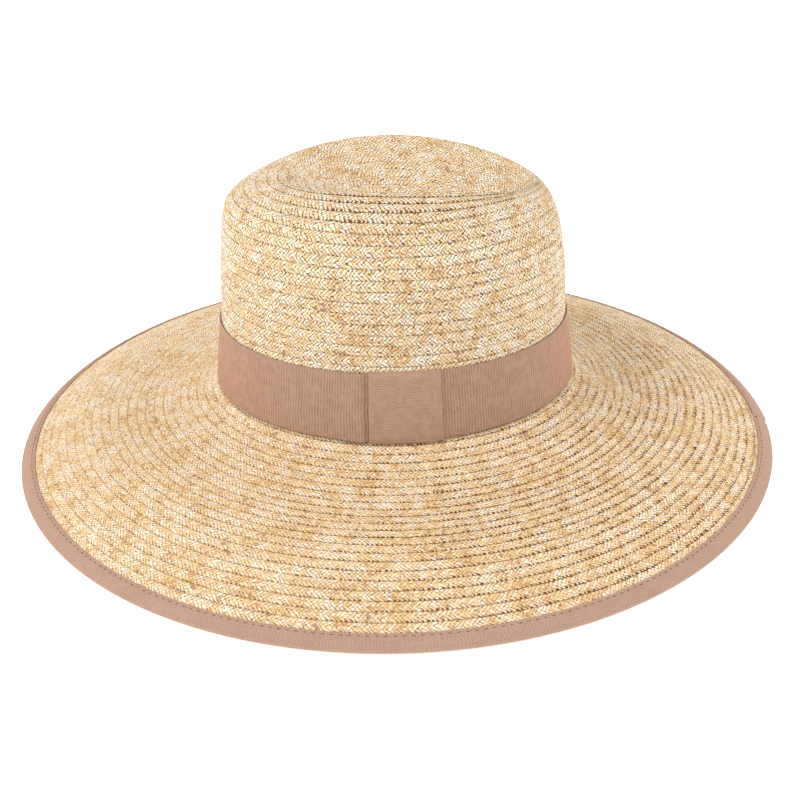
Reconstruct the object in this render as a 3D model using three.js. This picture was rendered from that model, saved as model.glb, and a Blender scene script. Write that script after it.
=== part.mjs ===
import * as THREE from 'three';

// Wide-brim straw hat: a dented braid crown, a sewn braid brim, a ribbon band
// with a flat wrapped knot, and a folded ribbon binding round the brim's edge.
// Millimetres, +Z up, +X to the front of the hat. The brim's edge rests on z = 0.

// Driving dimensions
const crownHalfLength = 100.4;   // outside of the straw at the headline, front to back
const crownHalfWidth = 86.1;     // outside of the straw at the headline, side to side
const strawWall = 2.2;           // two overlapping rows of braid
const fitGap = 0.35;             // clearance between neighbouring pieces
const ribbonHeight = 36;
const ribbonThickness = 0.9;
const ribbonDraft = 5.2;         // how far the ribbon leans in from its bottom to its top
const knotWidth = 37;
const knotThickness = 0.8;
const knotAngle = -87;           // degrees round the crown from the front; the hat's right side
const bindingWidth = 8;          // visible width of the folded edge ribbon on either face
const bindingThickness = 0.8;
const restWidth = 1.1;           // width of the level face under the binding
const segments = 56;             // steps round every ring
const crownSteps = 21;           // steps up the crown and down into its dent
const brimSteps = 12;            // steps across the brim outside the headline

// Crown rings from the hem to the middle of the dent. Height is above the headline.
// Tear narrows the front of a ring to a teardrop, pinch presses its two front
// corners in or, below nought, out, and the drops lower its front and its back.
const crownSections = [
  { name: 'hem', height: 0.8, halfLength: 100.3, halfWidth: 86.0, shift: 0, tear: 0, pinch: 0, frontDrop: 0, backDrop: 0 },
  { name: 'bandTop', height: 36, halfLength: 95.2, halfWidth: 81.0, shift: 0, tear: 0, pinch: 0, frontDrop: 0, backDrop: 0 },
  { name: 'wall', height: 62, halfLength: 93.0, halfWidth: 79.2, shift: 0.3, tear: 0, pinch: 0, frontDrop: 0, backDrop: 0 },
  { name: 'upper', height: 84, halfLength: 90, halfWidth: 76.2, shift: 0, tear: 0.02, pinch: 2.5, frontDrop: 0.7, backDrop: 0 },
  { name: 'turn', height: 100.4, halfLength: 85.6, halfWidth: 70, shift: 0, tear: 0.07, pinch: 5.6, frontDrop: 4, backDrop: 0 },
  { name: 'shoulder', height: 114.8, halfLength: 75.5, halfWidth: 63.9, shift: 4.2, tear: 0.15, pinch: 3.9, frontDrop: 10.5, backDrop: 6 },
  { name: 'ridge', height: 122.4, halfLength: 67, halfWidth: 53.7, shift: 8.8, tear: 0.2, pinch: -1.2, frontDrop: 16.9, backDrop: 10.6 },
  { name: 'lip', height: 117, halfLength: 59, halfWidth: 44.3, shift: 10.2, tear: 0.42, pinch: -1, frontDrop: 14.8, backDrop: 8.2 },
  { name: 'inner', height: 104, halfLength: 44, halfWidth: 28, shift: 12, tear: 0.5, pinch: 0, frontDrop: 8, backDrop: -0.5 },
  { name: 'floor', height: 94, halfLength: 29, halfWidth: 15.5, shift: 13, tear: 0.3, pinch: 0, frontDrop: 2, backDrop: -3.5 },
  { name: 'tip', height: 91.5, halfLength: 6, halfWidth: 3.5, shift: 12, tear: 0, pinch: 0, frontDrop: 0, backDrop: 0 },
];
const pinchAngle = 42;           // degrees from the front
const pinchSpread = 26;          // degrees

// Top face of the brim: reach outwards from the headline and drop below it.
// The first rows are the collar that stands inside the crown's hem.
const brimSections = [
  { name: 'collarTop', reach: -4.0, drop: -9 },
  { name: 'collarRoot', reach: -3.0, drop: -2.4 },
  { name: 'turnOut', reach: -2.0, drop: 0.9 },
  { name: 'underBand', reach: 1.3, drop: 2.4 },
  { name: 'fillet', reach: 3.8, drop: 4.3 },
  { name: 'slope', reach: 8.6, drop: 6.3 },
  { name: 'ease', reach: 18.0, drop: 9.6 },
  { name: 'hollow', reach: 27.6, drop: 12.2 },
  { name: 'level', reach: 37.4, drop: 13.8 },
  { name: 'flat', reach: 49.5, drop: 14.5 },
  { name: 'flatEnd', reach: 62.2, drop: 15.2 },
  { name: 'bend', reach: 73.5, drop: 17.0 },
  { name: 'fall', reach: 84.5, drop: 20.4 },
  { name: 'dip', reach: 95.7, drop: 24.6 },
  { name: 'edge', reach: 104.7, drop: 28.8 },
  { name: 'rim', reach: 111.3, drop: 32.9 },
];
const collarSections = 3;        // sections of the table that lie inside the headline

// Rounded nose of the binding, from its top face downwards: how far it stands
// out past the straw's end, and how far above the middle of the straw
const foldSections = [
  { name: 'topEdge', out: 0.9, above: 1.65 },
  { name: 'nose', out: 1.25, above: 0.75 },
  { name: 'noseLow', out: 1.25, above: -0.8 },
];

const toRadians = THREE.MathUtils.degToRad;

// A smooth value of one column between the rows of a table
function tableValue(table, column, level) {
  const last = table.length - 1;
  const index = Math.min(Math.floor(level), last - 1);
  const f = level - index;
  const b = table[index][column];
  const c = table[index + 1][column];
  const a = index > 0 ? table[index - 1][column] : 2 * b - c;
  const d = index + 2 <= last ? table[index + 2][column] : 2 * c - b;
  return 0.5 * (2 * b + (c - a) * f + (2 * a - 5 * b + 4 * c - d) * f * f + (3 * b - a - 3 * c + d) * f * f * f);
}

// Point of the crown's outer face: a teardrop ring at one level of the table
function crownPoint(theta, level) {
  const value = (column) => tableValue(crownSections, column, level);
  const tear = Math.max(value('tear'), 0);
  const peak = (tear + 1) / (tear + 2);
  const widest = 2 * Math.pow(peak, (tear + 1) / 2) * Math.sqrt(1 / (tear + 2));
  const across = Math.sin(theta) * Math.pow(Math.abs(Math.sin(theta / 2)), tear) / widest;
  const along = Math.cos(theta);
  const offFront = Math.abs(Math.atan2(Math.sin(theta), along));
  const away = (offFront - toRadians(pinchAngle)) / toRadians(pinchSpread);
  const press = value('pinch') * Math.exp(-away * away);
  const front = Math.pow((1 + along) / 2, 2);
  const back = Math.pow((1 - along) / 2, 2);
  return new THREE.Vector3(
    value('shift') + (value('halfLength') - press) * along,
    value('halfWidth') * across - press * Math.sin(theta),
    headlineHeight + value('height') - value('frontDrop') * front - value('backDrop') * back,
  );
}

function crownNormal(theta, level) {
  const step = 0.02;
  const low = Math.max(level - step, 0);
  const high = Math.min(level + step, crownSections.length - 1);
  const round = crownPoint(theta + step, level).sub(crownPoint(theta - step, level));
  const up = crownPoint(theta, high).sub(crownPoint(theta, low));
  return round.cross(up).normalize();
}

// Point of the brim's top face in its own section plane: x is the reach, y the drop
function brimTop(level) {
  return new THREE.Vector2(tableValue(brimSections, 'reach', level), tableValue(brimSections, 'drop', level));
}

// Unit vectors of the brim's section: along the slope outwards, and down through the straw
function brimFrame(level) {
  const step = 0.02;
  const low = Math.max(level - step, 0);
  const high = Math.min(level + step, brimSections.length - 1);
  const along = brimTop(high).sub(brimTop(low)).normalize();
  return { along, down: new THREE.Vector2(-along.y, along.x) };
}

// Level of the brim's table where the distance along it to the rim is a given length
function levelBeforeRim(length) {
  const step = 0.01;
  let level = brimSections.length - 1;
  let walked = 0;
  while (walked < length) {
    walked += brimTop(level).distanceTo(brimTop(level - step));
    level -= step;
  }
  return level;
}

// Closed section of the folded binding, from its top inner edge round the rim
function bindingSection() {
  const rim = brimSections.length - 1;
  const start = levelBeforeRim(bindingWidth);
  const stations = [start, (start + rim) / 2, rim];
  const shifted = (level, along, down) => {
    const frame = brimFrame(level);
    return brimTop(level).addScaledVector(frame.along, along).addScaledVector(frame.down, down);
  };
  const outerTop = stations.map((level) => shifted(level, 0, -fitGap - bindingThickness));
  const innerTop = stations.map((level) => shifted(level, level === rim ? fitGap : 0, -fitGap));
  const outerLow = stations.map((level) => shifted(level, 0, strawWall + fitGap + bindingThickness));
  const innerLow = stations.map((level) => shifted(level, level === rim ? fitGap : 0, strawWall + fitGap));
  const fold = foldSections.map((row) => shifted(rim, row.out, strawWall / 2 - row.above));
  // the fold's lowest two points lie level, as the narrow face that rests
  const restInner = outerLow[2];
  const restOuter = new THREE.Vector2(restInner.x + restWidth, restInner.y);
  return {
    rest: restInner.y,
    outline: [
      ...outerTop, ...fold, restOuter,
      ...outerLow.reverse(), ...innerLow, ...innerTop.reverse(),
    ],
  };
}

const binding = bindingSection();
const headlineHeight = binding.rest;

// Ring of points at one reach outside the headline and one drop below it
function ovalRing(reach, drop) {
  return (theta) => new THREE.Vector3(
    (crownHalfLength + reach) * Math.cos(theta),
    (crownHalfWidth + reach) * Math.sin(theta),
    headlineHeight - drop,
  );
}

// Solid from rings laid one after another. With poles it closes to a point at
// both ends, and without them the last ring joins the first.
function ringSolid(rings, poles) {
  const positions = [];
  const indices = [];
  for (const ring of rings) {
    for (let i = 0; i < segments; i += 1) {
      positions.push(...ring((i / segments) * Math.PI * 2).toArray());
    }
  }
  const vertex = (ring, i) => ring * segments + (i % segments);
  const bands = poles ? rings.length - 1 : rings.length;
  for (let ring = 0; ring < bands; ring += 1) {
    const next = (ring + 1) % rings.length;
    for (let i = 0; i < segments; i += 1) {
      indices.push(vertex(ring, i), vertex(ring, i + 1), vertex(next, i + 1));
      indices.push(vertex(ring, i), vertex(next, i + 1), vertex(next, i));
    }
  }
  if (poles) {
    const firstPole = positions.length / 3;
    positions.push(...poles[0].toArray(), ...poles[1].toArray());
    const lastRing = rings.length - 1;
    for (let i = 0; i < segments; i += 1) {
      indices.push(firstPole, vertex(0, i + 1), vertex(0, i));
      indices.push(firstPole + 1, vertex(lastRing, i), vertex(lastRing, i + 1));
    }
  }
  const geometry = new THREE.BufferGeometry();
  geometry.setAttribute('position', new THREE.Float32BufferAttribute(positions, 3));
  geometry.setIndex(indices);
  geometry.computeVertexNormals();
  return geometry;
}

function levels(first, last, steps) {
  return Array.from({ length: steps + 1 }, (_, i) => first + ((last - first) * i) / steps);
}

// Inner face first, from the pole in the dent down to the hem, then the outer face
function crownGeometry() {
  const top = crownSections.length - 1;
  const rows = levels(0, top, crownSteps);
  const outer = rows.map((level) => (theta) => crownPoint(theta, level));
  const inner = rows.map((level) => (theta) => (
    crownPoint(theta, level).addScaledVector(crownNormal(theta, level), -strawWall)
  ));
  const tip = crownSections[top];
  const pole = new THREE.Vector3(tip.shift, 0, headlineHeight + tip.height);
  const innerPole = pole.clone().setZ(pole.z - strawWall);
  return ringSolid([...inner.reverse(), ...outer], [innerPole, pole]);
}

function brimGeometry() {
  const rim = brimSections.length - 1;
  const collar = levels(0, collarSections, collarSections * 2);
  const rows = [...collar, ...levels(collarSections, rim, brimSteps).slice(1)];
  const top = rows.map((level) => brimTop(level));
  const under = rows.map((level) => brimTop(level).addScaledVector(brimFrame(level).down, strawWall));
  const outline = [...under, ...top.reverse()];
  return ringSolid(outline.map((point) => ovalRing(point.x, point.y)));
}

function bindingGeometry() {
  const outline = [...binding.outline].reverse();
  return ringSolid(outline.map((point) => ovalRing(point.x, point.y)));
}

// The ribbon follows the crown's wall, so its top leans in by the draft
function bandGeometry() {
  const inner = fitGap;
  const outer = fitGap + ribbonThickness;
  const rows = [[inner, 0], [outer, 0], [outer, 0.5], [outer, 1], [inner, 1], [inner, 0.5]];
  return ringSolid(rows.map(([reach, part]) => ovalRing(reach - ribbonDraft * part, -ribbonHeight * part)));
}

// A plate of ribbon over the band, with lips folded over the band's two edges
function knotGeometry() {
  const inner = fitGap * 2 + ribbonThickness;
  const outer = inner + knotThickness;
  const lip = fitGap;
  const over = fitGap + knotThickness;
  const lean = (height) => (-ribbonDraft * height) / ribbonHeight;
  const section = [
    [lip, -over], [outer, -over], [outer, ribbonHeight / 2], [outer, ribbonHeight + over],
    [lip, ribbonHeight + over], [lip, ribbonHeight + fitGap], [inner, ribbonHeight + fitGap],
    [inner, ribbonHeight / 2], [inner, -fitGap], [lip, -fitGap],
  ].map(([reach, height]) => new THREE.Vector2(reach + lean(height), height));
  const outline = new THREE.Shape(section);
  const steps = 8;
  const centre = toRadians(knotAngle);
  const halfSpread = knotWidth / 2 / crownHalfLength;
  const positions = [];
  const indices = [];
  for (let step = 0; step <= steps; step += 1) {
    const theta = centre + halfSpread * ((2 * step) / steps - 1);
    for (const point of section) positions.push(...ovalRing(point.x, -point.y)(theta).toArray());
  }
  const count = section.length;
  for (let step = 0; step < steps; step += 1) {
    for (let i = 0; i < count; i += 1) {
      const a = step * count + i;
      const b = step * count + ((i + 1) % count);
      indices.push(a, a + count, b, b, a + count, b + count);
    }
  }
  const lastRow = steps * count;
  for (const [a, b, c] of THREE.ShapeUtils.triangulateShape(outline.getPoints(1), [])) {
    indices.push(a, b, c, lastRow + a, lastRow + c, lastRow + b);
  }
  const geometry = new THREE.BufferGeometry();
  geometry.setAttribute('position', new THREE.Float32BufferAttribute(positions, 3));
  geometry.setIndex(indices);
  geometry.computeVertexNormals();
  return geometry;
}

function piece(name, geometry, color, roughness) {
  const material = new THREE.MeshStandardMaterial({ color, roughness, metalness: 0 });
  const mesh = new THREE.Mesh(geometry, material);
  mesh.name = name;
  return mesh;
}

const hat = new THREE.Group();
hat.name = 'straw_hat';
hat.add(
  piece('crown', crownGeometry(), 0xe3cba5, 0.62),
  piece('brim', brimGeometry(), 0xe0c298, 0.62),
  piece('hat_band', bandGeometry(), 0xb5917a, 0.8),
  piece('band_knot', knotGeometry(), 0xba967f, 0.8),
  piece('brim_binding', bindingGeometry(), 0xcaa593, 0.8),
);

export default hat;
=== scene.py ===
from math import radians
import bpy
import numpy as np
from mathutils import Matrix, Vector


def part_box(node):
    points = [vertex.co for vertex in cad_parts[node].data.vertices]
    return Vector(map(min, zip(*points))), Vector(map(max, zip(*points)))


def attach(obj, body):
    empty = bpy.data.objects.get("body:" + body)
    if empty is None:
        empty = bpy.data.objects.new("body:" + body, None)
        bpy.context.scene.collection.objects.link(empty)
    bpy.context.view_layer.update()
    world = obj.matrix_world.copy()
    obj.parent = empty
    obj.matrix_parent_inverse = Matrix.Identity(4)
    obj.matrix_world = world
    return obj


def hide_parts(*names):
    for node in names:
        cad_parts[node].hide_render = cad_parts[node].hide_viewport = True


# Wide-brim straw hat: plaited straw sewn in a spiral, a ribbon band with a flat
# knot, and a folded ribbon stitched round the edge of the brim.
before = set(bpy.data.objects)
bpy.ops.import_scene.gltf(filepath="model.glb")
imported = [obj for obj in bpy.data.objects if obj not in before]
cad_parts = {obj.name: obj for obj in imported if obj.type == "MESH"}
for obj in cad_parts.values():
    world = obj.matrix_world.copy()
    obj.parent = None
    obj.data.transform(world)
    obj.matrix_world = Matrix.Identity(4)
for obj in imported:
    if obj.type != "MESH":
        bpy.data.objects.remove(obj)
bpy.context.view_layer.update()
print("frame loaded")

mm = 0.001  # lengths below are millimetres until they go into a mesh or a camera
fullTurn = 2 * np.pi


# Camera

shot = {
    "lens": 44.27,           # on a 36 mm sensor
    "distance": 580.0,
    "elevation": 29.96,      # degrees above the horizon
    "roll": -1.36,           # degrees
    "target": (2.43, 0.0, 9.64),
}


def placeCamera(s):
    data = bpy.data.cameras.new("photoCamera")
    data.lens = s["lens"]
    data.clip_start = 0.01
    camera = bpy.data.objects.new("photoCamera", data)
    bpy.context.scene.collection.objects.link(camera)
    target = Matrix.Translation(Vector(s["target"]) * mm)
    tilt = Matrix.Rotation(radians(90 - s["elevation"]), 4, "X")
    back = Matrix.Translation((0, 0, s["distance"] * mm))
    roll = Matrix.Rotation(radians(s["roll"]), 4, "Z")
    camera.matrix_world = target @ tilt @ back @ roll
    bpy.context.scene.camera = camera


placeCamera(shot)


# Shape of the hat, after the solids in the frame

hat = {
    "halfLength": 100.4,     # outside of the straw at the headline, front to back
    "halfWidth": 86.1,
    "wall": 2.2,
    "gap": 0.35,
    "headline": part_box("hat_band")[0].z / mm,   # height of the ribbon's foot
    "pinchAngle": 42.0,      # degrees from the front
    "pinchSpread": 26.0,
}

# Rings of the crown, from the hem to the middle of the dent: hem, band top, wall,
# upper wall, turn, shoulder, ridge, lip, inner slope, floor, tip
crownTable = {
    "height": [0.8, 36, 62, 84, 100.4, 114.8, 122.4, 117, 104, 94, 91.5],
    "halfLength": [100.3, 95.2, 93.0, 90.0, 85.6, 75.5, 67.0, 59.0, 44, 29, 6],
    "halfWidth": [86.0, 81.0, 79.2, 76.2, 70.0, 63.9, 53.7, 44.3, 28, 15.5, 3.5],
    "shift": [0, 0, 0.3, 0, 0, 4.2, 8.8, 10.2, 12, 13, 12],
    "tear": [0, 0, 0, 0.02, 0.07, 0.15, 0.2, 0.42, 0.5, 0.3, 0],
    "pinch": [0, 0, 0, 2.5, 5.6, 3.9, -1.2, -1, 0, 0, 0],
    "frontDrop": [0, 0, 0, 0.7, 4, 10.5, 16.9, 14.8, 8, 2, 0],
    "backDrop": [0, 0, 0, 0, 0, 6, 10.6, 8.2, -0.5, -3.5, 0],
}
crownTip = len(crownTable["height"]) - 1

# Top face of the brim, from the collar inside the crown to the rim. Next to the
# ribbon it lies up to 0.8 mm above the solid brim.
brimTable = {
    "reach": [
        -4.0, -3.0, -2.0, 1.3, 3.8, 8.6, 18.0, 27.6, 37.4, 49.5, 62.2, 73.5, 84.5, 95.7, 104.7, 111.3,
    ],
    "drop": [
        -9, -2.4, 0.7, 1.6, 3.8, 6.3, 9.6, 12.2, 13.8, 14.5, 15.2, 17.0, 20.4, 24.6, 28.8, 32.9,
    ],
}
brimRim = len(brimTable["reach"]) - 1


def tableValue(table, column, level):
    # A smooth cubic through the values of one column; past its ends the column runs
    # on straight
    rows = np.array(table[column], float)
    rows = np.concatenate([[2 * rows[0] - rows[1]], rows, [2 * rows[-1] - rows[-2]]])
    index = np.clip(np.floor(level).astype(int), 0, len(rows) - 4)
    f = level - index
    a, b, c, d = (rows[index + k] for k in range(4))
    cubic = 3 * b - a - 3 * c + d
    return 0.5 * (2 * b + (c - a) * f + (2 * a - 5 * b + 4 * c - d) * f ** 2 + cubic * f ** 3)


def crownPlace(theta, level):
    # An oval whose sideways reach is drawn in towards the front by a power of
    # sin(theta / 2), pressed in at its two front corners and dropped at both ends
    column = {name: tableValue(crownTable, name, level) for name in crownTable}
    tear = np.maximum(column["tear"], 0)
    peak = (tear + 1) / (tear + 2)
    widest = 2 * peak ** ((tear + 1) / 2) * np.sqrt(1 / (tear + 2))
    along = np.cos(theta)
    across = np.sin(theta) * np.abs(np.sin(theta / 2)) ** tear / widest
    offFront = np.abs(np.arctan2(np.sin(theta), along))
    away = (offFront - radians(hat["pinchAngle"])) / radians(hat["pinchSpread"])
    press = column["pinch"] * np.exp(-away ** 2)
    front = ((1 + along) / 2) ** 2
    back = ((1 - along) / 2) ** 2
    x = column["shift"] + (column["halfLength"] - press) * along
    y = column["halfWidth"] * across - press * np.sin(theta)
    z = hat["headline"] + column["height"] - column["frontDrop"] * front - column["backDrop"] * back
    return np.stack([x, y, z], -1)


def ovalPlace(theta, reach, height):
    # A ring at one reach outside the headline oval and one height above it
    x = (hat["halfLength"] + reach) * np.cos(theta)
    y = (hat["halfWidth"] + reach) * np.sin(theta)
    return np.stack([x, y, hat["headline"] + height + 0 * x], -1)


def brimPlace(theta, level):
    reach = tableValue(brimTable, "reach", level)
    return ovalPlace(theta, reach, -tableValue(brimTable, "drop", level))


def unit(vectors):
    return vectors / np.maximum(np.linalg.norm(vectors, axis=-1, keepdims=True), 1e-9)


def runLength(points):
    # Distance walked along a line of points, from its first point
    steps = np.linalg.norm(np.diff(points, axis=0), axis=-1)
    return np.concatenate([[0], np.cumsum(steps)])


def walkAcross(place, firstLevel, lastLevel):
    # Levels against the distance walked down the side of the hat between two levels
    levels = np.linspace(firstLevel, lastLevel, 2001)
    side = np.full_like(levels, -np.pi / 2)
    return {"place": place, "levels": levels, "walked": runLength(place(side, levels))}


def levelAt(walk, distance):
    # Level at a distance; before the first one the level runs on straight
    start = (walk["levels"][1] - walk["levels"][0]) / (walk["walked"][1] - walk["walked"][0])
    end = (walk["levels"][-1] - walk["levels"][-2]) / (walk["walked"][-1] - walk["walked"][-2])
    before = np.minimum(distance, 0) * start
    after = np.maximum(distance - walk["walked"][-1], 0) * end
    return np.interp(distance, walk["walked"], walk["levels"]) + before + after


def outwards(walk, theta, distance):
    # Unit normal: the step down the side crossed with the step round the ring
    step = 0.15
    turn = 0.004
    ahead = walk["place"](theta, levelAt(walk, distance + step))
    behind = walk["place"](theta, levelAt(walk, distance - step))
    down = ahead - behind
    level = levelAt(walk, distance)
    round_ = walk["place"](theta + turn, level) - walk["place"](theta - turn, level)
    return unit(np.cross(down, round_))


# Meshes from grids of points

def sweptMesh(name, points, along, pairs, ring, lines=1):
    # points holds one closed section after another. along gives the pattern's place
    # of each section, and pairs its place across at the two sides of each face.
    # ring joins the last section to the first; otherwise both ends get a cap.
    sections, around = points.shape[:2]
    count = sections if ring else sections - 1
    i, j = np.meshgrid(np.arange(count), np.arange(around), indexing="ij")
    nextI = (i + 1) % sections
    nextJ = (j + 1) % around
    corners = [(i, j), (i, nextJ), (nextI, nextJ), (nextI, j)]
    quads = np.stack([a * around + b for a, b in corners], -1).reshape(-1, 4)
    loops = quads.ravel()
    starts = np.arange(len(quads)) * 4
    if not ring:
        firstCap = np.arange(around)[::-1]
        lastCap = np.arange(around) + (sections - 1) * around
        starts = np.concatenate([starts, [len(loops), len(loops) + around]])
        loops = np.concatenate([loops, firstCap, lastCap])
    mesh = bpy.data.meshes.new(name)
    mesh.vertices.add(sections * around)
    mesh.vertices.foreach_set("co", (points * mm).astype(np.float32).ravel())
    mesh.loops.add(len(loops))
    mesh.loops.foreach_set("vertex_index", loops.astype(np.int32))
    mesh.polygons.add(len(starts))
    mesh.polygons.foreach_set("loop_start", starts.astype(np.int32))
    mesh.update(calc_edges=True)
    mesh.polygons.foreach_set("use_smooth", np.full(len(starts), True))
    # pattern map, in the units of along and pairs
    low = pairs[:, 0][j]
    high = pairs[:, 1][j]
    u = np.stack([along[i], along[i], along[i + 1], along[i + 1]], -1)
    v = np.stack([low, high, high, low], -1)
    setMap(mesh, "plaitMap", u, v, len(loops))
    # flat layout for baking: the sweep cut into lines laid under one another
    perLine = -(-count // lines)
    line = i // perLine
    left = (i - line * perLine) / perLine
    right = left + 1 / perLine
    margin = 0.03
    bottom = (line + margin + (1 - 2 * margin) * j / around) / lines
    top = (line + margin + (1 - 2 * margin) * (j + 1) / around) / lines
    u = np.stack([left, left, right, right], -1)
    v = np.stack([bottom, top, top, bottom], -1)
    setMap(mesh, "OFBake", u, v, len(loops))
    mesh.validate()
    return mesh


def otherWay(pairs):
    # The same pairs for a section whose points are given in the opposite order
    return np.roll(pairs[::-1, ::-1], -1, axis=0)


def setMap(mesh, name, u, v, loopCount):
    values = np.zeros((loopCount, 2), np.float32)
    values[:u.size, 0] = u.ravel()
    values[:u.size, 1] = v.ravel()
    mesh.uv_layers.new(name=name).data.foreach_set("uv", values.ravel())


def addPiece(mesh, slot, material, *nodes):
    piece = bpy.data.objects.new(mesh.name, mesh)
    bpy.context.scene.collection.objects.link(piece)
    mesh.materials.append(material)
    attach(piece, "root")
    if nodes:
        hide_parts(*nodes)
    return piece


# Shader nodes

def linear(red, green, blue):
    # Screen colour, 0 to 255, as the linear colour that a shader reads
    c = np.array([red, green, blue]) / 255
    c = np.where(c <= 0.04045, c / 12.92, ((c + 0.055) / 1.055) ** 2.4)
    return (*c.tolist(), 1.0)


def nodeMaker(tree):
    # Adds a node and fills its inputs with values or with other nodes' outputs
    def make(kind, inputs, **settings):
        node = tree.nodes.new("ShaderNode" + kind)
        for name, value in settings.items():
            setattr(node, name, value)
        for key, value in inputs.items():
            if isinstance(value, bpy.types.NodeSocket):
                tree.links.new(value, node.inputs[key])
            else:
                node.inputs[key].default_value = value
        return node

    def calc(operation, *values):
        return make("Math", dict(enumerate(values)), operation=operation).outputs[0]

    def blend(factor, a, b, how="MIX"):
        mix = make("Mix", {0: factor, 6: a, 7: b}, data_type="RGBA", blend_type=how)
        return mix.outputs[2]

    def spread(value, low, high, toLow=0.0, toHigh=1.0):
        inputs = {0: value, 1: low, 2: high, 3: toLow, 4: toHigh}
        return make("MapRange", inputs, interpolation_type="SMOOTHSTEP").outputs[0]

    def noise(place, scale, detail, dimensions="3D"):
        key = "W" if dimensions == "1D" else "Vector"
        inputs = {key: place, "Scale": scale, "Detail": detail}
        return make("TexNoise", inputs, noise_dimensions=dimensions).outputs

    def chance(place, dimensions="3D"):
        # One random number and one random colour for each place
        key = "W" if dimensions == "1D" else "Vector"
        return make("TexWhiteNoise", {key: place}, noise_dimensions=dimensions).outputs

    return make, calc, blend, spread, noise, chance


def newGroup(name, inputs, outputs):
    group = bpy.data.node_groups.new(name, "ShaderNodeTree")
    for socket, kind, value in inputs:
        made = group.interface.new_socket(name=socket, in_out="INPUT", socket_type=kind)
        if value is not None:
            made.default_value = value
    for socket, kind in outputs:
        group.interface.new_socket(name=socket, in_out="OUTPUT", socket_type=kind)
    entry = group.nodes.new("NodeGroupInput")
    leave = group.nodes.new("NodeGroupOutput")
    return group, entry.outputs, leave.inputs


strawTones = [
    # place on the ramp and screen colour, from the darkest straw to the palest
    (0.00, (204, 154, 100)),
    (0.16, (226, 184, 130)),
    (0.36, (238, 205, 155)),
    (0.56, (246, 220, 177)),
    (0.76, (252, 234, 198)),
    (1.00, (255, 248, 226)),
]

# The same straw where it is dark or along its fibres, under a painted highlight, and where painted shade
# falls along its sides, in the gaps where cells meet, in the notches between folds and under the edge of
# the row above
strawColors = {
    "paintedHighlight": (252, 250, 241),
    "dark": (166, 132, 122),
    "fibre": (150, 112, 68),
    "shade": (130, 84, 30),
    "cornerShade": (98, 56, 12),
    "notchShade": (112, 66, 12),
    "paintedRowShadow": (158, 98, 38),
}

# Look of the plaited straw. The last five say how much of a colour is mixed in.
weaveLook = {
    "foldDrift": 0.9,        # how far the folds stray along the row, in folds
    "bendAlong": 0.7,        # how crooked the straws lie, in folds
    "bendAcross": 0.5,
    "groove": 0.22,          # depth between two straws, as a share of the relief
    "fibres": 4.0,           # fibres to a straw
    "fibreRelief": 0.045,
    "lap": -0.3,             # how far one side of a straw lies under the next
    "strawTone": 0.26,       # shares of the tone: each straw, each cell, broad patches
    "cellTone": 0.42,
    "patchTone": 0.16,
    "grainTone": 0.07,
    "dullStretch": -0.12,    # stretches of the row that are duller or brighter
    "brightStretch": 0.06,
    "patchScale": 55.0,      # cycles to a metre
    "clusterScale": 120.0,
    "cellHue": 0.15,
    # how much of the painted highlight some straws get
    "paintedHighlight": 0.8,
    "dark": 0.8,
    "fibreShade": 0.2,
    # share of the painted shadow under the edge of the row above
    "paintedRowShadow": 0.9,
}


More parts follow.
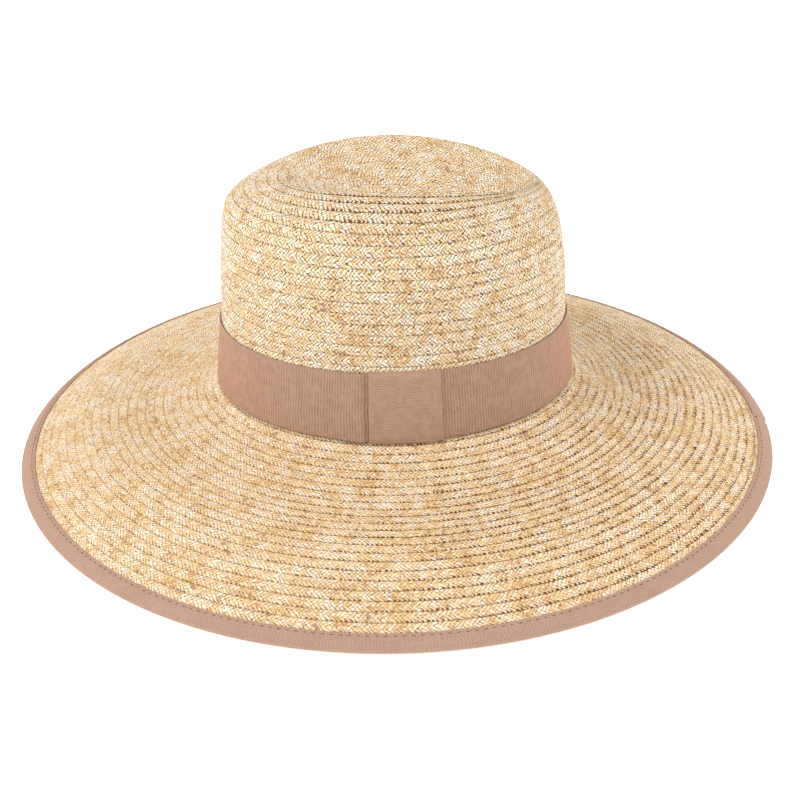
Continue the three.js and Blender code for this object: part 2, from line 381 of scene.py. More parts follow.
def buildPlaitWeave(s):
    # Straws cross at 45 degrees on a lattice whose cells are counted by a = u + v
    # and b = u - v. Each half of the plait shows one direction, and along the
    # middle the straw on top changes from cell to cell.
    group, given, result = newGroup(
        "plaitWeave",
        [
            ("Plait", "NodeSocketVector", None),
            ("Place", "NodeSocketVector", None),
            ("Lines", "NodeSocketFloat", 1.0),
            ("Tint", "NodeSocketColor", (1.0, 1.0, 1.0, 1.0)),
            ("Cream", "NodeSocketFloat", 0.0),
            # strength of the painted shade in the gaps where cells meet
            ("GapShade", "NodeSocketFloat", 0.5),
            ("Shadow", "NodeSocketFloat", 0.4),
        ],
        [("Color", "NodeSocketColor"), ("Roughness", "NodeSocketFloat"), ("Height", "NodeSocketFloat")],
    )
    make, calc, blend, spread, noise, chance = nodeMaker(group)
    screen = {name: linear(*color) for name, color in strawColors.items()}
    split = make("SeparateXYZ", {0: given["Plait"]}).outputs
    row = split[0]
    edge = plait["across"] * max(rowSection["across"])
    v = calc("MINIMUM", split[1], calc("SUBTRACT", 2 * edge, split[1]))      # the underside runs back
    slow = noise(row, 0.6, 1.0, "1D")[0]
    u = calc("MULTIPLY_ADD", slow, s["foldDrift"], row)
    crooked = noise(given["Plait"], 0.9, 1.0, "2D")["Color"]
    crooked = make("SeparateColor", {0: crooked}).outputs
    bentU = calc("MULTIPLY_ADD", crooked[0], s["bendAlong"], u)
    bentV = calc("MULTIPLY_ADD", crooked[1], s["bendAcross"], calc("SUBTRACT", v, s["bendAcross"] / 2))
    a = calc("ADD", bentU, bentV)
    b = calc("SUBTRACT", bentU, bentV)
    cellA = calc("FLOOR", a)
    cellB = calc("FLOOR", b)
    inA = calc("FRACT", a)
    inB = calc("FRACT", b)
    parity = calc("FLOORED_MODULO", calc("ADD", cellA, cellB), 2.0)

    # the two halves of the plait meet on a line that jumps a little at each fold
    foldNumber = calc("FLOOR", calc("MULTIPLY", u, 2.0))
    border = calc("MULTIPLY_ADD", chance(foldNumber, "1D")["Value"], 0.8, 0.9)
    fromBorder = calc("SUBTRACT", v, border)
    outerEdge = calc("GREATER_THAN", fromBorder, 0.3)
    innerEdge = calc("LESS_THAN", fromBorder, -0.3)
    atEdge = calc("MAXIMUM", outerEdge, innerEdge)
    chosen = calc("SUBTRACT", calc("ADD", parity, innerEdge), outerEdge)
    onTopA = calc("MINIMUM", calc("MAXIMUM", chosen, 0.0), 1.0)
    onTopB = calc("SUBTRACT", 1.0, onTopA)

    def pick(forA, forB):
        return calc("ADD", calc("MULTIPLY", onTopA, forA), calc("MULTIPLY", onTopB, forB))

    wide = pick(inA, inB)           # place across the straw on top
    longways = pick(inB, inA)       # place along it within the cell
    fromMiddle = calc("ABSOLUTE", calc("MULTIPLY_ADD", wide, 2.0, -1.0))
    hump = calc("SUBTRACT", 1.0, calc("POWER", fromMiddle, 2.6))
    arch = calc("SINE", calc("MULTIPLY", longways, np.pi))
    arch = calc("MAXIMUM", arch, atEdge)
    groove = spread(fromMiddle, 0.0, 0.22, 1.0, 0.0)
    fibres = calc("SINE", calc("MULTIPLY", wide, fullTurn * s["fibres"]))
    height = calc("MULTIPLY", hump, calc("MULTIPLY_ADD", arch, 0.5, 0.5))
    height = calc("SUBTRACT", height, calc("MULTIPLY", groove, s["groove"]))
    height = calc("MULTIPLY_ADD", fibres, s["fibreRelief"], height)
    height = calc("MULTIPLY_ADD", wide, s["lap"], height)

    # tone: one value for each straw, one for each cell, then patches, grain and stretches
    strawNumber = pick(cellA, calc("ADD", cellB, 0.37))
    strawTone = chance(strawNumber, "1D")["Value"]
    cell = make("CombineXYZ", {0: cellA, 1: cellB, 2: 0.0}).outputs[0]
    cellChance = chance(cell)
    cellTone = cellChance["Value"]
    cellColor = make("SeparateColor", {0: cellChance["Color"]}).outputs
    patch = noise(given["Place"], s["patchScale"], 2.0)[0]
    streak = {0: calc("MULTIPLY", wide, 5.0), 1: calc("MULTIPLY", longways, 1.2), 2: cellTone}
    grain = noise(make("CombineXYZ", streak).outputs[0], 1.0, 1.0)[0]
    stretch = noise(row, 0.16, 2.0, "1D")[0]
    tone = calc("MULTIPLY_ADD", strawTone, s["strawTone"], given["Cream"])
    tone = calc("MULTIPLY_ADD", cellTone, s["cellTone"], tone)
    tone = calc("ADD", tone, spread(patch, 0.3, 0.7, 0.0, s["patchTone"]))
    tone = calc("ADD", tone, spread(grain, 0.3, 0.7, -s["grainTone"], s["grainTone"]))
    tone = calc("ADD", tone, spread(stretch, 0.32, 0.62, s["dullStretch"], s["brightStretch"]))
    ramp = make("ValToRGB", {0: tone})
    elements = ramp.color_ramp.elements
    for place, tint in strawTones[1:-1]:
        elements.new(place).color = linear(*tint)
    elements[0].color = linear(*strawTones[0][1])
    elements[-1].color = linear(*strawTones[-1][1])
    color = blend(s["cellHue"], ramp.outputs[0], cellChance["Color"], "SOFT_LIGHT")

    # painted highlights in the middle of straws, and dark straws, come in clusters
    cluster = noise(given["Place"], s["clusterScale"], 1.0)[0]
    luck = calc("ADD", cellColor[2], spread(cluster, 0.3, 0.7))
    fromCentre = calc("ABSOLUTE", calc("MULTIPLY_ADD", longways, 2.0, -1.0))
    highlightMask = calc("MULTIPLY", spread(fromMiddle, 1.0, 0.4), spread(fromCentre, 1.0, 0.4))
    highlightMask = calc("MULTIPLY", highlightMask, spread(luck, 1.05, 1.5))
    color = blend(calc("MULTIPLY", highlightMask, s["paintedHighlight"]), color, screen["paintedHighlight"])
    color = blend(spread(luck, 0.2, 0.06, 0.0, s["dark"]), color, screen["dark"])
    color = blend(spread(fibres, 0.2, 1.0, 0.0, s["fibreShade"]), color, screen["fibre"])

    # painted shade along the straws' sides and ends, and painted shade as dark specks in the gaps where
    # four cells meet
    side = calc("MAXIMUM", spread(wide, 0.72, 0.97), spread(wide, 0.12, 0.0, 0.0, 0.6))
    dives = calc("MULTIPLY", spread(arch, 0.5, 0.0), 0.8)
    shade = calc("MULTIPLY", calc("MAXIMUM", side, dives), given["Shadow"])
    color = blend(shade, color, screen["shade"])
    cornerA = calc("ROUND", a)
    cornerB = calc("ROUND", b)
    corner = make("CombineXYZ", {0: cornerA, 1: cornerB, 2: 7.0}).outputs[0]
    offA = calc("ABSOLUTE", calc("SUBTRACT", a, cornerA))
    offB = calc("ABSOLUTE", calc("SUBTRACT", b, cornerB))
    cornerShade = spread(calc("ADD", offA, offB), 0.42, 0.22)
    cornerShade = calc("MULTIPLY", cornerShade, spread(chance(corner)["Value"], 0.3, 0.8))
    color = blend(calc("MULTIPLY", cornerShade, given["GapShade"]), color, screen["cornerShade"])

    # the row's own edge: painted shade in the notches between its folds, and the
    # painted scalloped shadow that the row above casts on it
    foldGap = calc("ABSOLUTE", calc("MULTIPLY_ADD", calc("FRACT", u), 2.0, -1.0))
    gapChance = chance(calc("ADD", calc("ROUND", u), 0.37), "1D")["Value"]
    drift = noise(row, 0.11, 1.0, "1D")[0]
    # how strong the painted shade of the row lines is: the rows' relief, varied along the row
    lines = calc("MULTIPLY", given["Lines"], spread(drift, 0.3, 0.6, 0.35, 1.0))
    notchFrom = calc("MULTIPLY_ADD", lines, -0.15, 2.08)
    notchShade = spread(v, notchFrom, calc("ADD", notchFrom, 0.4))
    notchShade = calc("MULTIPLY", spread(foldGap, 0.35, 0.75), notchShade)
    notchShade = calc("MULTIPLY", notchShade, spread(gapChance, 0.0, 0.5, 0.3, 1.0))
    color = blend(calc("MULTIPLY", notchShade, lines), color, screen["notchShade"])
    scallop = calc("MULTIPLY", calc("MULTIPLY", foldGap, lines), spread(gapChance, 0.1, 0.8, 0.05, 0.32))
    paintedRowShadow = spread(calc("SUBTRACT", v, scallop), -0.14, 0.1, s["paintedRowShadow"], 0.0)
    color = blend(calc("MULTIPLY", paintedRowShadow, lines), color, screen["paintedRowShadow"], "MULTIPLY")
    color = blend(1.0, color, given["Tint"], "MULTIPLY")

    rough = calc("MULTIPLY_ADD", cellColor[1], 0.18, 0.36)
    rough = calc("MULTIPLY_ADD", side, 0.2, rough)
    rough = calc("MAXIMUM", rough, calc("MULTIPLY", notchShade, 0.9))
    group.links.new(color, result["Color"])
    group.links.new(rough, result["Roughness"])
    group.links.new(height, result["Height"])
    return group


def strawMaterial(name, weave, s):
    material = bpy.data.materials.new(name)
    material.use_nodes = True
    tree = material.node_tree
    make = nodeMaker(tree)[0]
    shader = tree.nodes["Principled BSDF"]
    plait = make("UVMap", {}, uv_map="plaitMap").outputs[0]
    woven = make("Group", {}, node_tree=weave)
    tree.links.new(plait, woven.inputs["Plait"])
    place = make("TexCoord", {}).outputs["Object"]
    tree.links.new(place, woven.inputs["Place"])
    lines = make("Attribute", {}, attribute_name="rowRelief").outputs["Fac"]
    tree.links.new(lines, woven.inputs["Lines"])
    woven.inputs["Tint"].default_value = (*s["tint"], 1.0)
    for key in ("Cream", "GapShade", "Shadow"):
        woven.inputs[key].default_value = s[key.lower()]
    bump = make("Bump", {"Height": woven.outputs["Height"], "Strength": 1.0, "Distance": s["bump"] * mm})
    tree.links.new(woven.outputs["Color"], shader.inputs["Base Color"])
    tree.links.new(woven.outputs["Roughness"], shader.inputs["Roughness"])
    tree.links.new(bump.outputs[0], shader.inputs["Normal"])
    shader.inputs["Specular IOR Level"].default_value = s["gloss"]
    return material


ribbonLook = {
    "thread": 0.9,           # from one thread to the next, across the ribbon
    # colour of the painted shade in the grooves between the ribs
    "groove": (116, 82, 62),
    "sheen": (225, 165, 130),
    "gloss": 0.25,
}


def buildGrosgrain():
    # Ribs cross the ribbon: a wave along its length whose spacing and strength
    # stray a little, with single threads, a slow uneven tone and painted shade in the grooves
    group, given, result = newGroup(
        "grosgrain",
        [
            ("Ribbon", "NodeSocketVector", None),
            ("Rib", "NodeSocketFloat", 0.8),
            ("Stray", "NodeSocketFloat", 1.0),
            ("Base", "NodeSocketColor", (0.5, 0.3, 0.2, 1)),
            ("GrooveShade", "NodeSocketFloat", 0.3),
        ],
        [("Color", "NodeSocketColor"), ("Roughness", "NodeSocketFloat"), ("Height", "NodeSocketFloat")],
    )
    make, calc, blend, spread, noise = nodeMaker(group)[:5]
    split = make("SeparateXYZ", {0: given["Ribbon"]}).outputs
    along, across = split[0], split[1]
    stray = noise(given["Ribbon"], 0.11, 1.0, "2D")[0]
    phase = calc("DIVIDE", calc("MULTIPLY_ADD", stray, given["Stray"], along), given["Rib"])
    rib = calc("MULTIPLY_ADD", calc("SINE", calc("MULTIPLY", phase, fullTurn)), 0.5, 0.5)
    threads = calc("SINE", calc("MULTIPLY", across, fullTurn / ribbonLook["thread"]))
    fine = noise(given["Ribbon"], 1.9, 3.0, "2D")[0]
    slow = noise(given["Ribbon"], 0.09, 2.0, "2D")[0]
    strength = noise(given["Ribbon"], 0.25, 2.0, "2D")[0]
    grooveShadeMask = calc("MULTIPLY", calc("SUBTRACT", 1.0, rib), spread(strength, 0.25, 0.7, 0.35, 1.0))
    color = blend(calc("MULTIPLY", grooveShadeMask, given["GrooveShade"]), given["Base"], linear(*ribbonLook["groove"]))
    lightness = calc("ADD", spread(fine, 0.25, 0.75, 0.8, 1.2), spread(slow, 0.25, 0.75, -0.03, 0.03))
    lightness = calc("MULTIPLY_ADD", threads, 0.05, lightness)
    color = make("HueSaturation", {"Value": lightness, "Color": color}).outputs[0]
    group.links.new(color, result["Color"])
    group.links.new(spread(fine, 0.2, 0.8, 0.62, 0.85), result["Roughness"])
    height = calc("MULTIPLY_ADD", threads, 0.12, rib)
    height = calc("MULTIPLY_ADD", fine, 0.35, height)
    group.links.new(height, result["Height"])
    return group


def ribbonMaterial(name, grosgrain, s):
    material = bpy.data.materials.new(name)
    material.use_nodes = True
    tree = material.node_tree
    make = nodeMaker(tree)[0]
    shader = tree.nodes["Principled BSDF"]
    place = make("UVMap", {}, uv_map="plaitMap").outputs[0]
    woven = make("Group", {}, node_tree=grosgrain)
    tree.links.new(place, woven.inputs["Ribbon"])
    woven.inputs["Rib"].default_value = s["rib"]
    woven.inputs["Stray"].default_value = s["stray"]
    woven.inputs["Base"].default_value = linear(*s["color"])
    woven.inputs["GrooveShade"].default_value = s["groove"]
    bump = make("Bump", {"Height": woven.outputs["Height"], "Strength": 1.0, "Distance": s["bump"] * mm})
    tree.links.new(woven.outputs["Color"], shader.inputs["Base Color"])
    tree.links.new(woven.outputs["Roughness"], shader.inputs["Roughness"])
    tree.links.new(bump.outputs[0], shader.inputs["Normal"])
    shader.inputs["Specular IOR Level"].default_value = ribbonLook["gloss"]
    shader.inputs["Sheen Weight"].default_value = s["sheen"]
    shader.inputs["Sheen Roughness"].default_value = 0.5
    shader.inputs["Sheen Tint"].default_value = linear(*ribbonLook["sheen"])
    return material


# Plaited straw, laid in one long spiral on the crown and another on the brim

plait = {
    "fold": 2.15,            # along the row from one folded straw to the next
    "perFold": 3,            # sections of mesh to each fold
    "across": 2.5,           # width of a row in folds
    "foldOut": 0.05,         # how far a fold stands out of the row's edge, in row widths
    "relief": 0.08,          # height of the woven cells
    "waver": 0.02,           # how far the sewing strays, in row widths
    "foldUp": 0.12,          # how far a fold stands up at the row's edge
    "uneven": (0.55, 1.35),  # least and greatest share of that for a single fold
    "short": 0.3,            # the last row ends this far from the edge of the straw
    "leastRelief": 0.15,     # the share left where the straw is pressed flat
    "mostRelief": 1.3,
}

# One section of a row: place across in row widths from the row inside it, height
# over the wall's face, share of the woven relief and of the folded edge
rowSection = {
    "across": [-0.15, 0.25, 0.5, 0.75, 0.97, 1.03, 0.95, -0.15],
    "height": [-0.28, 0.03, 0.06, 0.09, 0.1, 0.0, -0.19, -1.3],
    "relief": [0, 1, 1, 1, 0.6, 0, 0, 0],
    "folded": [0, 0, 0, 0, 1, 1, 0.8, 0],
}


def rowPairs():
    # Pattern place across at the two sides of each face. The underside runs back
    # past the folded edge, so no two faces share a place.
    across = np.array(rowSection["across"])
    turn = np.argmax(across)
    across = np.concatenate([across[:turn + 1], 2 * across[turn] - across[turn + 1:]])
    closing = across[-1] + 0.2
    return plait["across"] * np.stack([across, np.append(across[1:], closing)], -1)


crownStraw = {
    "row": 5.43,             # width of a row that shows
    "bandLine": 2.9,         # from the top of the band up to the first row line
    "startTurn": -0.25,      # where the spiral starts, in turns from the front
    "firstRow": -2.5,        # smallest distance from the last ring of the dent
    "pieces": ["crown_top_rows", "crown_wall_rows"],
    "lines": 22,
    "seed": 11,
    "flattest": 0.6,         # what the iron has left of the rows' relief at the back
    "boldest": 1.0,          # and at the front
    "reliefFrom": -60,       # the relief grows towards the front between these two places
    "reliefTo": 80,
}
brimStraw = {
    "row": 4.975,
    "bandLine": 5.2,         # from the ribbon's foot out to the first row line
    "startTurn": -0.25,
    "firstRow": 0.2,
    "pieces": ["brim_inner_rows", "brim_middle_rows", "brim_outer_rows"],
    "lines": 24,
    "seed": 12,
    "flattest": 0.45,
    "boldest": 2.0,
    "reliefFrom": -200,
    "reliefTo": 260,
}


def smooth(value, low, high):
    share = np.clip((value - low) / (high - low), 0, 1)
    return share * share * (3 - 2 * share)


# Where the crown's rows are bolder or flatter: each pair is where that starts and
# where it is complete, along one axis of the hat
ridgeRows = {"height": (131, 146), "right": (8, 26), "front": (-65, -15), "boldness": 1.7}
dentRows = {"height": (118, 134), "left": (-15, 5), "loss": 0.75}


def rowRelief(face, s):
    # Share of the rows' relief that is left at a place: it grows towards the front,
    # is full along the ridge on the wearer's right and small in the dent
    x, y, z = face[..., 0], face[..., 1], face[..., 2]
    relief = s["flattest"] + (s["boldest"] - s["flattest"]) * smooth(x, s["reliefFrom"], s["reliefTo"])
    ridge = smooth(z, *ridgeRows["height"]) * smooth(-y, *ridgeRows["right"])
    ridge = ridge * smooth(x, *ridgeRows["front"])
    dent = smooth(z, *dentRows["height"]) * smooth(y, *dentRows["left"])
    return np.maximum(relief, ridgeRows["boldness"] * ridge) * (1 - dentRows["loss"] * dent)


def sewSpiral(walk, row, lineAt, s):
    # The row's inner line is a spiral: its distance grows by one row width a turn.
    # Each section of the plait is set across it and lifted along the normal, with a
    # cosine lattice for the woven cells and a cosine wave for the folded edge.
    draw = np.random.default_rng(s["seed"])
    whole = np.floor((lineAt - s["firstRow"]) / row)
    start = lineAt - whole * row
    turns = (walk["walked"][-1] - plait["short"] - start) / row - 1
    fine = np.linspace(0, turns, int(turns * 360))
    middle = start + row * (fine + 0.5)
    path = walk["place"](fullTurn * (fine + s["startTurn"]), levelAt(walk, middle))
    length = runLength(path)
    step = plait["fold"] / plait["perFold"]
    count = int(length[-1] / step)
    turn = np.interp(np.arange(count + 1) * step, length, fine)
    theta = fullTurn * (turn + s["startTurn"])
    folds = np.arange(count + 1) / plait["perFold"]
    wave = -np.cos(fullTurn * folds)
    each = draw.uniform(*plait["uneven"], int(folds[-1]) + 2)[folds.astype(int)]
    section = {name: np.array(values, float) for name, values in rowSection.items()}
    inFolds = 2 * section["across"]
    lattice = wave[:, None] * np.cos(fullTurn * inFolds)[None, :]
    stray = np.zeros(count + 1)
    for waves in (2.3, 5.7, 13.1):
        stray += np.sin(fullTurn * waves * turn + draw.uniform(0, fullTurn)) / 3
    across = section["across"][None, :] + plait["waver"] * stray[:, None]
    across = across + plait["foldOut"] * (wave * each)[:, None] * section["folded"][None, :]
    height = section["height"][None, :] + plait["relief"] * lattice * section["relief"][None, :]
    height = height + plait["foldUp"] * (wave * each)[:, None] * section["folded"][None, :]
    distance = start + row * (turn[:, None] + across)
    round_ = np.broadcast_to(theta[:, None], distance.shape)
    face = walk["place"](round_, levelAt(walk, distance))
    relief = rowRelief(face, s)
    least = plait["leastRelief"]
    height = height * (least + (1 - least) * np.minimum(relief, plait["mostRelief"]))
    return face + outwards(walk, round_, distance) * height[..., None], folds, relief


def sewnPieces(walk, row, lineAt, s, slot, material, node):
    points, folds, relief = sewSpiral(walk, row, lineAt, s)
    cuts = np.linspace(0, len(points) - 1, len(s["pieces"]) + 1).astype(int)
    for k, name in enumerate(s["pieces"]):
        part = slice(cuts[k], cuts[k + 1] + 1)
        mesh = sweptMesh(name, points[part], folds[part], rowPairs(), False, s["lines"])
        shown = mesh.attributes.new("rowRelief", "FLOAT", "POINT")
        shown.data.foreach_set("value", relief[part].ravel().astype(np.float32))
        addPiece(mesh, slot, material, node)
        print(name, "has", len(mesh.polygons) * 2, "triangles")


plaitWeave = buildPlaitWeave(weaveLook)
# The weave's painted shade: how strong it is in the gaps where cells meet and along the straws' sides
crownFinish = {
    "tint": (0.98, 0.99, 1.015),
    "cream": 0.08,
    "gapshade": 0.95,
    "shadow": 0.95,
    "bump": 0.2,
    "gloss": 0.25,
}
brimFinish = {
    "tint": (1.01, 0.975, 0.94),
    "cream": 0.05,
    "gapshade": 0.6,
    "shadow": 0.65,
    "bump": 0.2,
    "gloss": 0.25,
}
crownStrawMaterial = strawMaterial("crownStraw", plaitWeave, crownFinish)
brimStrawMaterial = strawMaterial("brimStraw", plaitWeave, brimFinish)

crownWalk = walkAcross(crownPlace, crownTip, 0)
bandTopLevel = 1
fromTip = np.interp(-bandTopLevel, -crownWalk["levels"], crownWalk["walked"])
sewnPieces(crownWalk, crownStraw["row"], fromTip - crownStraw["bandLine"], crownStraw,
           "crown_straw", crownStrawMaterial, "crown")

brimWalk = walkAcross(brimPlace, 0, brimRim)
underBandLevel = 3
fromCollar = np.interp(underBandLevel, brimWalk["levels"], brimWalk["walked"])
sewnPieces(brimWalk, brimStraw["row"], fromCollar + brimStraw["bandLine"], brimStraw,
           "brim_straw", brimStrawMaterial, "brim")
print("straw sewn")


# Small oval that closes the middle of the dent

tipButton = {
    "halfLength": 11.0,
    "halfWidth": 7.5,
    "back": 1.0,             # how far it lies behind the dent's last ring
    "sections": 48,
}


def tipMesh(s):
    # Rings of an oval: share of its size and height over the dent's floor
    size = np.array([0.02, 0.35, 0.7, 0.95, 1.0, 0.9, 0.02])
    height = np.array([0.25, 0.22, 0.15, 0.0, -0.3, -0.7, -0.9])
    theta = np.linspace(0, fullTurn, s["sections"], endpoint=False)
    size, theta = np.meshgrid(size, theta)
    x = crownTable["shift"][-1] - s["back"] + s["halfLength"] * size * np.cos(theta)
    y = s["halfWidth"] * size * np.sin(theta)
    z = hat["headline"] + crownTable["height"][-1] + np.broadcast_to(height, x.shape)
    along = np.arange(s["sections"] + 1) / 3
    pairs = np.array([(0, 0.5), (0.5, 1), (1, 1.5), (1.5, 1.9), (1.9, 2.2), (0.2, 1.6), (1.6, 1.7)])
    return sweptMesh("crown_tip", np.stack([x, y, z], -1), along, pairs, True)


addPiece(tipMesh(tipButton), "crown_straw", crownStrawMaterial)


# Ribbon band round the crown, with a flat knot over it

knot = {
    "width": 37.0,
    "thickness": 0.8,
    "angle": -87.0,          # degrees round from the front
    "over": 0.5,             # how far it stands over the band's two edges
    "sections": 40,
    "rounding": 0.5,         # how far its two ends are drawn in
}

band = {
    "height": 36.0,
    "thickness": 0.6,
    "draft": 5.3,            # how far the ribbon leans in from its bottom to its top
    "sections": 1200,
    "bulge": 0.25,           # how far its middle stands out
    "slack": 0.16,           # how far its edges lift off here and there
    "fold": 1.5,             # height of the soft fold beside the knot
    "foldPlace": 3.2,        # from the knot's left edge to the top of that fold
    "foldSlope": (9.0, 1.4),     # its length away from the knot and towards it
    "foldEnd": 6.0,          # how far under the knot it runs
}


def leanIn(height):
    return -band["draft"] * height / band["height"]


def bandMesh(s):
    # A thin closed section, bulged a little in the middle, carried round the oval.
    # Both edges stand off by slow waves, and beside the knot the ribbon rises in a
    # bell curve and dips under the knot's edge.
    theta = np.linspace(0, fullTurn, s["sections"], endpoint=False)
    part = np.array([0.0, 0.02, 0.15, 0.35, 0.5, 0.65, 0.85, 0.98, 1.0, 0.98, 0.5, 0.02])
    face = np.array([0.6, 1, 1, 1, 1, 1, 1, 1, 0.6, 0, 0, 0])
    height = s["height"] * part[None, :] + 0 * theta[:, None]
    bulge = s["bulge"] * np.sin(np.pi * part) * face
    lift = 0.5 + 0.5 * np.sin(3 * theta + 0.6) * np.sin(7 * theta + 2.1)
    edge = np.abs(2 * part - 1) ** 6
    reach = hat["gap"] + s["thickness"] * face + leanIn(height) + bulge
    reach = reach + s["slack"] * lift[:, None] * edge[None, :]
    knotEdge = radians(knot["angle"]) - knot["width"] / 2 / hat["halfLength"]
    turned = np.arctan2(np.sin(theta - knotEdge), np.cos(theta - knotEdge))
    beside = (turned * hat["halfLength"])[:, None]
    slope = np.where(beside < -s["foldPlace"], *s["foldSlope"])
    rise = s["fold"] * np.exp(-((beside + s["foldPlace"]) / slope) ** 2)
    rise = rise * (0.8 + 0.4 * (1 - part[None, :]))      # a little higher at its foot
    reach = reach + rise * (beside < s["foldEnd"])
    round_ = np.broadcast_to(theta[:, None], reach.shape)
    points = ovalPlace(round_, reach, height)
    path = ovalPlace(np.linspace(0, fullTurn, s["sections"] + 1), 0.0, 0.0)
    across = s["height"] * part
    pairs = np.stack([across, np.roll(across, -1)], -1)
    return sweptMesh("hat_band_ribbon", points[:, ::-1], runLength(path), otherWay(pairs), True, 6)


grosgrain = buildGrosgrain()
# groove in each ribbon is the strength of its painted shade in the grooves between ribs
bandRibbon = ribbonMaterial("bandRibbon", grosgrain, {
    "rib": 1.55,             # from one rib to the next
    "stray": 1.6,
    "color": (174, 142, 121),
    "groove": 0.6,
    "bump": 0.1,
    "sheen": 0.6,
})
addPiece(bandMesh(band), "band_ribbon", bandRibbon, "hat_band")


def knotMesh(s):
    # A C-shaped section folded over both edges of the band, carried along its
    # width; the two ends are rounded off by drawing the section in
    inner = hat["gap"] * 2 + band["thickness"] + 0.15
    outer = inner + s["thickness"]
    over = s["over"]
    top = band["height"]
    section = np.array([
        (hat["gap"], -over), (outer - 0.4, -over), (outer, -over + 0.4), (outer + 0.12, 4),
        (outer + 0.2, top / 2), (outer + 0.12, top - 4), (outer, top + over - 0.4),
        (outer - 0.4, top + over), (hat["gap"], top + over),
        (hat["gap"], top + over / 2), (inner, top + over / 2), (inner, top / 2), (inner, -over / 2),
        (hat["gap"], -over / 2),
    ])
    share = np.linspace(-1, 1, s["sections"])
    share = np.sin(share * np.pi / 2)
    half = s["width"] / 2 / hat["halfLength"]
    theta = radians(s["angle"]) + half * share
    thin = np.sqrt(np.maximum(1 - np.abs(share) ** 40, 0)) * s["rounding"] + (1 - s["rounding"])
    reach = inner + (section[None, :, 0] - inner) * thin[:, None]
    height = section[None, :, 1] + 0 * reach
    points = ovalPlace(np.broadcast_to(theta[:, None], reach.shape), reach + leanIn(height), height)
    walked = runLength(section)
    closing = walked[-1] + np.linalg.norm(section[0] - section[-1])
    pairs = np.stack([walked, np.append(walked[1:], closing)], -1)
    along = s["width"] / 2 * share
    return sweptMesh("band_knot_ribbon", points[:, ::-1], along, otherWay(pairs), False, 1)


def turnMap(mesh):
    # The knot's ribbon runs up and down, so its pattern map is turned a quarter
    layer = mesh.uv_layers["plaitMap"].data
    values = np.zeros(len(layer) * 2, np.float32)
    layer.foreach_get("uv", values)
    layer.foreach_set("uv", values.reshape(-1, 2)[:, ::-1].ravel())


knotPiece = knotMesh(knot)
turnMap(knotPiece)
knotRibbon = ribbonMaterial("knotRibbon", grosgrain, {
    "rib": 1.1,
    "stray": 1.5,
    "color": (180, 147, 126),
    "groove": 0.5,
    "bump": 0.1,
    "sheen": 0.6,
})
addPiece(knotPiece, "band_ribbon", knotRibbon, "band_knot")


# Folded ribbon round the edge of the brim

binding = {
    "width": 7.5,
    "wider": 0.9,            # added at the front and back of the hat, taken off at the sides
    "thickness": 0.8,
    "sections": 1200,
    "pucker": 0.05,          # height of the small waver along the edge
    "puckers": 173,
    "join": -7.0,            # degrees from the front to the ribbon's cut end
    "joinStep": 0.7,         # how far the cut end stands up
    "joinRun": 4.0,          # degrees over which that step dies away
    "joinGroove": 1.0,       # depth of the dip at the cut end
    "joinWidth": 0.45,       # degrees
}


def bindingLine(s, theta, inward, height):
    # A point on the folded ribbon: inward is the share of its width in from the
    # rim, below nought outside the rim; height is over the brim's top face
    width = s["width"] + s["wider"] * np.cos(2 * theta)
    distance = brimWalk["walked"][-1] - np.where(inward > 0, inward * width, inward)
    face = brimPlace(theta, levelAt(brimWalk, distance))
    return face + outwards(brimWalk, theta, distance) * height[..., None]


def bindingMesh(s):
    # The section follows the brim's top face to the rim, turns round it in a half
    # circle and follows the underside back, with a small waver along the edge
    legs = np.array([1, 0.97, 0.85, 0.7, 0.5, 0.25, 0.1])
    outer = hat["gap"] + s["thickness"]
    top = list(zip(legs, outer + np.array([-0.6, -0.4, -0.2, 0.15, 0.25, 0.2, 0.0])))
    turn = np.linspace(80, -80, 7)
    radius = (hat["wall"] + 2 * outer) / 2
    middle = -hat["wall"] / 2
    nose = [(-0.25 - 1.05 * np.cos(radians(t)), middle + radius * np.sin(radians(t))) for t in turn]
    low = [(share, -hat["wall"] - outer) for share in legs[::-1]]
    low[-1] = (legs[0], -hat["wall"] - hat["gap"] - 0.2)
    under = -hat["wall"] - hat["gap"] * 0.6
    inside = [(1.0, under), (0.05, under), (0.05, hat["gap"] * 0.6), (1.0, hat["gap"] * 0.6)]
    section = np.array(top + nose + low + inside)
    theta = np.linspace(0, fullTurn, s["sections"], endpoint=False)
    inward, theta = np.meshgrid(section[:, 0], theta)
    afterJoin = np.mod(theta - radians(s["join"]), fullTurn)
    step = s["joinStep"] * np.exp(-afterJoin / radians(s["joinRun"])) * (section[:, 1] > 0)
    fromJoin = np.minimum(afterJoin, fullTurn - afterJoin)
    groove = s["joinGroove"] * np.exp(-(fromJoin / radians(s["joinWidth"])) ** 2) * (section[:, 1] > 0)
    height = section[:, 1] + s["pucker"] * np.sin(s["puckers"] * theta) + step - groove
    points = bindingLine(s, theta, inward, height)
    points[..., 2] = np.maximum(points[..., 2], 0.0)
    fromRim = np.where(section[:, 0] > 0, -section[:, 0] * s["width"], -section[:, 0])
    flat = np.stack([fromRim, section[:, 1]], -1)
    walked = runLength(flat)
    closing = walked[-1] + np.linalg.norm(flat[0] - flat[-1])
    pairs = np.stack([walked, np.append(walked[1:], closing)], -1)
    rim = 111.0              # reach of the line along which the ribs are counted
    path = ovalPlace(np.linspace(0, fullTurn, s["sections"] + 1), rim, 0.0)
    return sweptMesh("binding_ribbon", points, runLength(path), pairs, True, 10)


stitching = {
    "count": 338,
    "perStitch": 8,
    "inward": 0.8,           # share of the binding's width in from the rim
    "rise": 0.55,            # height of the thread's wave
    "sunk": 0.6,             # how far it lies under the face, as a share of the rise
    "thread": 0.25,          # radius
    "sides": 6,
}


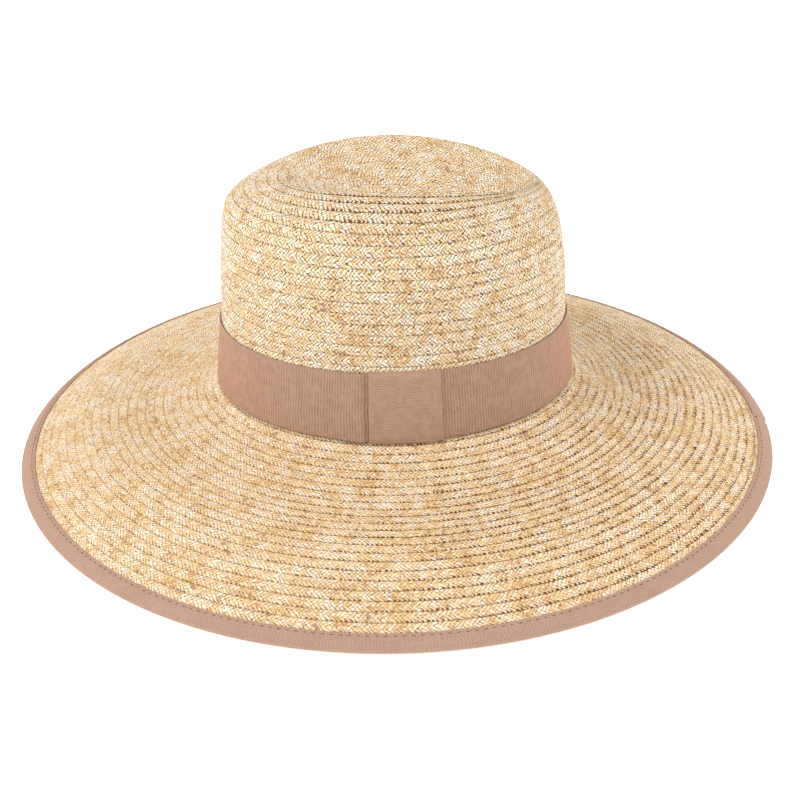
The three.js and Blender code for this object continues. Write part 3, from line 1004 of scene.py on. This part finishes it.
def stitchMesh(name, s, side):
    # One thread run through the ribbon: its middle rises and dives by a cosine over
    # each stitch. side is 1 on the top face and -1 on the underside.
    sections = s["count"] * s["perStitch"]
    theta = np.linspace(0, fullTurn, sections, endpoint=False)
    turn = np.linspace(0, fullTurn, s["sides"], endpoint=False)
    turn, theta = np.meshgrid(turn, theta)
    face = hat["gap"] + binding["thickness"] + (0.0 if side > 0 else hat["wall"])
    wave = face + s["rise"] * (0.5 * np.cos(s["count"] * theta) - s["sunk"])
    height = side * (wave + s["thread"] * np.sin(turn))
    inward = s["inward"] - side * s["thread"] * np.cos(turn) / binding["width"]
    points = bindingLine(binding, theta, inward, height)
    along = 0.5 * np.arange(sections + 1)
    facet = np.arange(s["sides"])
    pairs = np.stack([facet, facet + 1], -1) * 0.3
    return sweptMesh(name, points, along, pairs, True, 10)


edgeRibbon = ribbonMaterial("edgeRibbon", grosgrain, {
    "rib": 1.5,
    "stray": 1.5,
    "color": (178, 145, 126),
    "groove": 0.2,
    "bump": 0.08,
    "sheen": 0.15,
})
threadMaterial = ribbonMaterial("sewingThread", grosgrain, {
    "rib": 0.5,
    "stray": 0.0,
    "color": (128, 92, 72),
    "groove": 0.3,
    "bump": 0.03,
    "sheen": 0.15,
})
addPiece(bindingMesh(binding), "edge_ribbon", edgeRibbon, "brim_binding")
addPiece(stitchMesh("top_stitches", stitching, 1), "edge_ribbon", threadMaterial)
addPiece(stitchMesh("under_stitches", stitching, -1), "edge_ribbon", threadMaterial)
print("ribbons made")


# Floor and light

studio = {
    "floorSize": 6.0,
    "floorTone": 0.9,
    "floorGlow": 0.5,
    "world": 0.84,
    "keyPower": 11.2,
    "keyPlace": (-0.95, -0.4, 1.2),
    "keySize": 0.8,
    "fillPower": 6.8,
    "fillPlace": (1.35, 0.0, 0.6),
    "fillSize": 1.0,
}


def areaLight(name, place, size, power):
    data = bpy.data.lights.new(name, "AREA")
    data.shape = "DISK"
    data.size = size
    data.energy = power
    light = bpy.data.objects.new(name, data)
    bpy.context.scene.collection.objects.link(light)
    light.location = place
    light.rotation_euler = (-Vector(place)).to_track_quat("-Z", "Y").to_euler()


def buildStudio(s):
    bpy.context.scene.view_settings.view_transform = "Standard"
    world = bpy.data.worlds.new("studioWorld")
    bpy.context.scene.world = world
    world.use_nodes = True
    world.node_tree.nodes["Background"].inputs["Color"].default_value = (1, 1, 1, 1)
    world.node_tree.nodes["Background"].inputs["Strength"].default_value = s["world"]
    half = s["floorSize"] / 2
    mesh = bpy.data.meshes.new("floor")
    corners = [(-half, -half, 0), (half, -half, 0), (half, half, 0), (-half, half, 0)]
    mesh.from_pydata(corners, [], [(0, 1, 2, 3)])
    floor = bpy.data.objects.new("floor", mesh)
    bpy.context.scene.collection.objects.link(floor)
    paper = bpy.data.materials.new("paleFloor")
    paper.use_nodes = True
    shader = paper.node_tree.nodes["Principled BSDF"]
    shader.inputs["Base Color"].default_value = (s["floorTone"], s["floorTone"], s["floorTone"], 1)
    shader.inputs["Roughness"].default_value = 0.9
    shader.inputs["Specular IOR Level"].default_value = 0.0
    shader.inputs["Emission Color"].default_value = (1, 1, 1, 1)
    shader.inputs["Emission Strength"].default_value = s["floorGlow"]
    mesh.materials.append(paper)
    areaLight("keyLight", s["keyPlace"], s["keySize"], s["keyPower"])
    areaLight("fillLight", s["fillPlace"], s["fillSize"], s["fillPower"])


buildStudio(studio)
print("studio ready")
